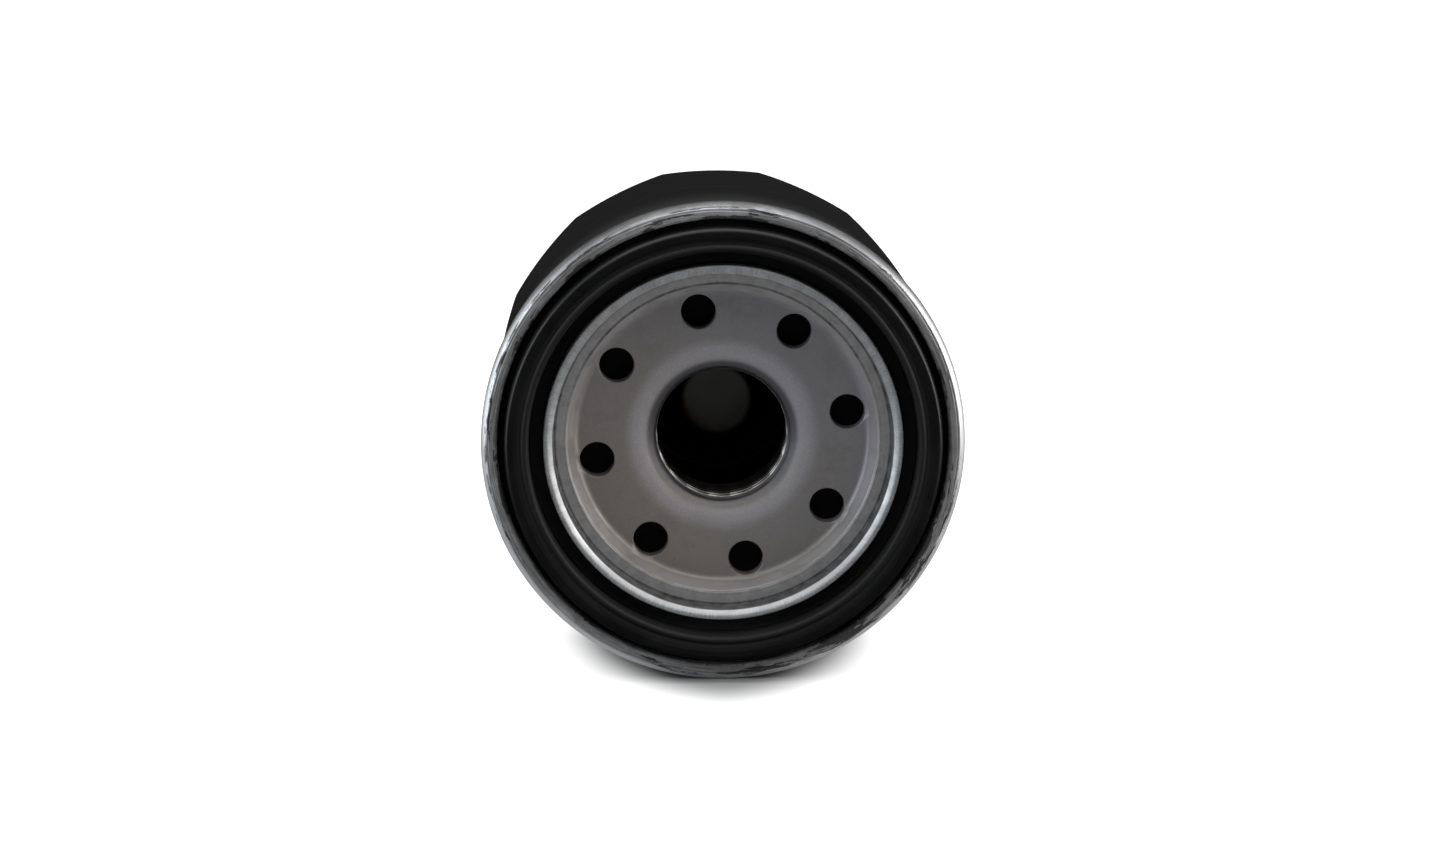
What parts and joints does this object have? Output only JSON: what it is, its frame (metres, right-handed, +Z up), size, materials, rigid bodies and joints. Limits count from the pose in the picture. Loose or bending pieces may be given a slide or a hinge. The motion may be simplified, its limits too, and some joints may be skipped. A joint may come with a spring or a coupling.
{
  "type": "oil filter",
  "caption": "Spin-on oil filter: black fluted steel can with a bare seam ring, a rubber gasket, and a steel plate with inlet holes round a threaded centre.",
  "frame": {"origin": "centre of the gasket's sealing face, on the filter's axis, where the engine's threaded nipple enters", "axes": "+Y along the filter's axis from the thread end to the domed end, +Z up with the filter on its side, +X to the right seen from the thread end"},
  "size_m": [0.0688, 0.06, 0.0688],
  "materials": {
    "black_paint": "satin",
    "tinplate": "satin",
    "bare_steel": "satin",
    "spring_steel": "satin",
    "black_rubber": "satin",
    "filter_paper": "matte",
    "plastisol": "matte",
    "sealing_compound": "matte"
  },
  "bodies": {
    "housing": {"canister": "black_paint", "seaming_lid": "tinplate", "seam_compound": "sealing_compound", "base_plate": "bare_steel", "sealing_gasket": "black_rubber", "element_spring": "spring_steel"},
    "element": {"lower_end_cap": "tinplate", "upper_end_cap": "tinplate", "element_grommet": "black_rubber", "center_tube": "tinplate", "lower_potting": "plastisol", "upper_potting": "plastisol", "pleated_media": "filter_paper", "media_seam_clip": "tinplate", "bypass_seat": "tinplate", "bypass_cage": "tinplate", "bypass_spring": "spring_steel"},
    "bypass_poppet": {"bypass_poppet": "tinplate", "bypass_seal": "black_rubber"},
    "anti_drainback_valve": {"anti_drainback_valve": "black_rubber"}
  },
  "joints": [
    {"name": "element_float", "type": "slide", "parent": "housing", "child": "element", "axis": [0, 1, 0], "range_m": [0, 0.0015], "stiffness_N_per_m": 4000, "springref_m": -0.008, "deforming": ["element_spring"]},
    {"name": "bypass_slide", "type": "slide", "parent": "element", "child": "bypass_poppet", "axis": [0, -1, 0], "range_m": [0, 0.0025], "stiffness_N_per_m": 1500, "springref_m": -0.004, "deforming": ["bypass_spring"]},
    {"name": "drainback_flap", "type": "slide", "parent": "housing", "child": "anti_drainback_valve", "axis": [0, 1, 0], "range_m": [0, 0.0012], "stiffness_N_per_m": 800, "springref_m": -0.001}
  ]
}
